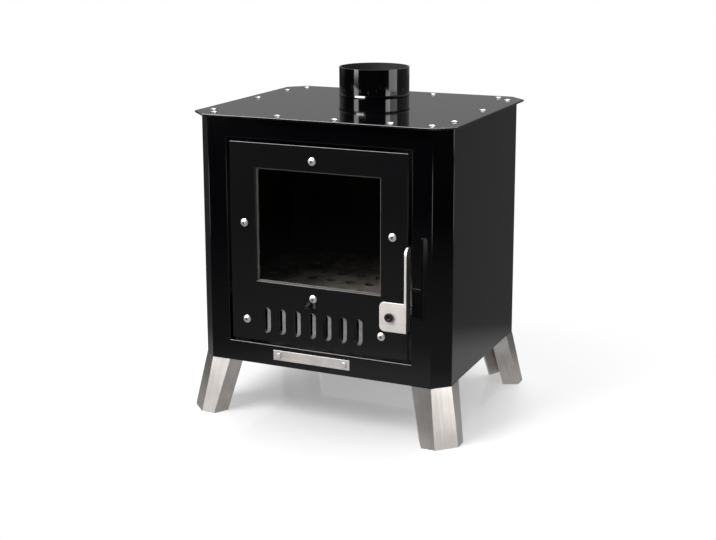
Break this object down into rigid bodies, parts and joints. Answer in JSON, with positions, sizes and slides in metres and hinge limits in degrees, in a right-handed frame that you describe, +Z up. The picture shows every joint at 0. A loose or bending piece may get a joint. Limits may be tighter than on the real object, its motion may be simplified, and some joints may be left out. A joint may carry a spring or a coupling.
{
  "type": "camping wood stove",
  "caption": "Small box wood stove on splayed folded legs, with a glazed front door, an air slide, a turning latch handle, a perforated grate and a top flue collar.",
  "frame": {"origin": "on the floor, under the centre of the stove's bounding box", "axes": "+Z up, the door faces -Y, +X to the right as seen from the front"},
  "size_m": [0.397, 0.3574, 0.473],
  "materials": {
    "black_enamel": "gloss",
    "stainless": "brushed",
    "bright_steel": "polished",
    "dark_steel": "satin",
    "stove_glass": "clear",
    "fibre_gasket": "matte",
    "brass_bush": "satin",
    "black_oxide": "satin"
  },
  "bodies": {
    "stove": {"casing_wrap": "black_enamel", "back_panel": "black_enamel", "base_plate": "black_enamel", "top_frame": "dark_steel", "top_plate": "black_enamel", "top_screws": "bright_steel", "top_nuts": "bright_steel", "flue_collar": "black_enamel", "leg_front_left": "stainless", "leg_front_right": "stainless", "leg_rear_left": "stainless", "leg_rear_right": "stainless", "leg_screws": "bright_steel", "leg_nuts": "bright_steel", "grate": "dark_steel", "grate_ledge_left": "dark_steel", "grate_ledge_right": "dark_steel", "ash_pan": "dark_steel", "hinge_bracket_lower": "dark_steel", "hinge_bracket_upper": "dark_steel", "hinge_pin_lower": "stainless", "hinge_pin_upper": "stainless", "latch_keeper": "dark_steel", "blank_plate": "stainless", "plate_rivets": "stainless"},
    "door": {"door_plate": "black_enamel", "glass_gasket": "fibre_gasket", "door_glass": "stove_glass", "glass_retainer": "dark_steel", "door_screws": "bright_steel", "door_spacers": "bright_steel", "door_nuts": "bright_steel", "slide_guide": "dark_steel", "hinge_lug_lower": "dark_steel", "hinge_lug_upper": "dark_steel", "spindle_bush": "brass_bush"},
    "air_control": {"air_slide": "stainless", "air_knob": "black_oxide"},
    "latch": {"handle_lever": "stainless", "latch_spindle": "stainless", "handle_screw": "black_oxide", "latch_tongue": "stainless", "latch_screw": "bright_steel"}
  },
  "joints": [
    {"name": "door_hinge", "type": "hinge", "parent": "stove", "child": "door", "pos_m": [-0.116, -0.12875, 0.22], "axis": [0, 0, -1], "range_deg": [0, 110]},
    {"name": "handle_turn", "type": "hinge", "parent": "door", "child": "latch", "pos_m": [0.1195, -0.13775, 0.1805], "axis": [0, -1, 0], "range_deg": [0, 90]},
    {"name": "air_slide_travel", "type": "slide", "parent": "door", "child": "air_control", "axis": [1, 0, 0], "range_m": [-0.005, 0.0062]}
  ]
}
